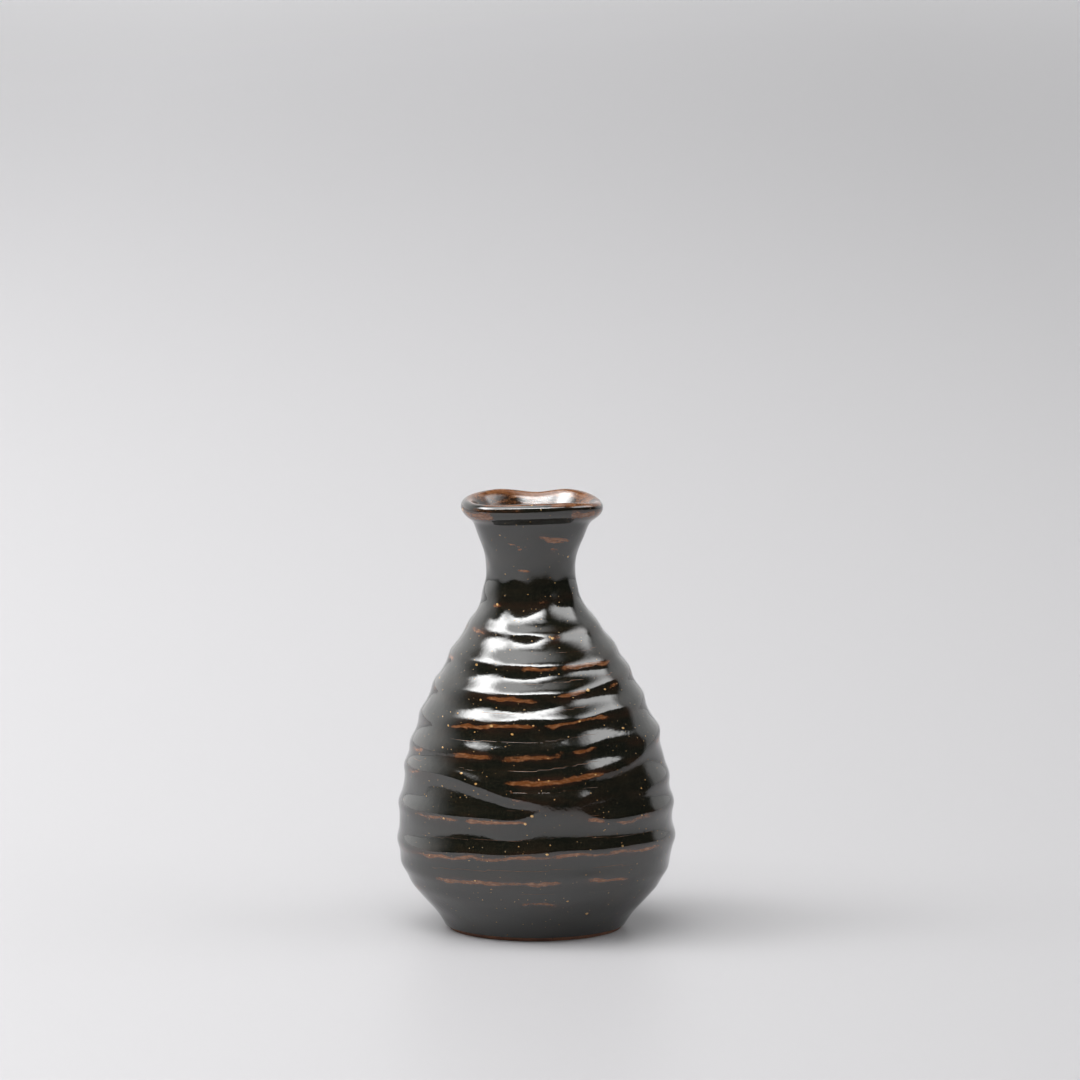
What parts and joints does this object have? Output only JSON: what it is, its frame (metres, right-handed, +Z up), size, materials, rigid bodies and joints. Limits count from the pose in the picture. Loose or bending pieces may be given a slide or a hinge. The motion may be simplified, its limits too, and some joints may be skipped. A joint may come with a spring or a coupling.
{
  "type": "sake bottle",
  "caption": "Small stoneware sake bottle with a ridged pear-shaped belly, narrow neck and squarish pouring mouth, dark glaze inside and out.",
  "frame": {"origin": "centre of the foot on the surface the bottle stands on", "axes": "+Z up along the throat's axis to the mouth, -Y towards the viewer, +X to the viewer's right"},
  "size_m": [0.0798, 0.0798, 0.1262],
  "materials": {
    "fired_clay": "matte",
    "bare_foot_clay": "matte",
    "dark_glaze": "gloss",
    "rust_glaze": "gloss",
    "lining_glaze": "gloss",
    "base_glaze": "satin"
  },
  "bodies": {
    "root": {"clay_body": "fired_clay", "foot_ring": "bare_foot_clay", "outer_glaze": "dark_glaze", "lip_glaze": "rust_glaze", "inner_glaze": "lining_glaze", "base_glaze": "base_glaze"}
  },
  "joints": []
}
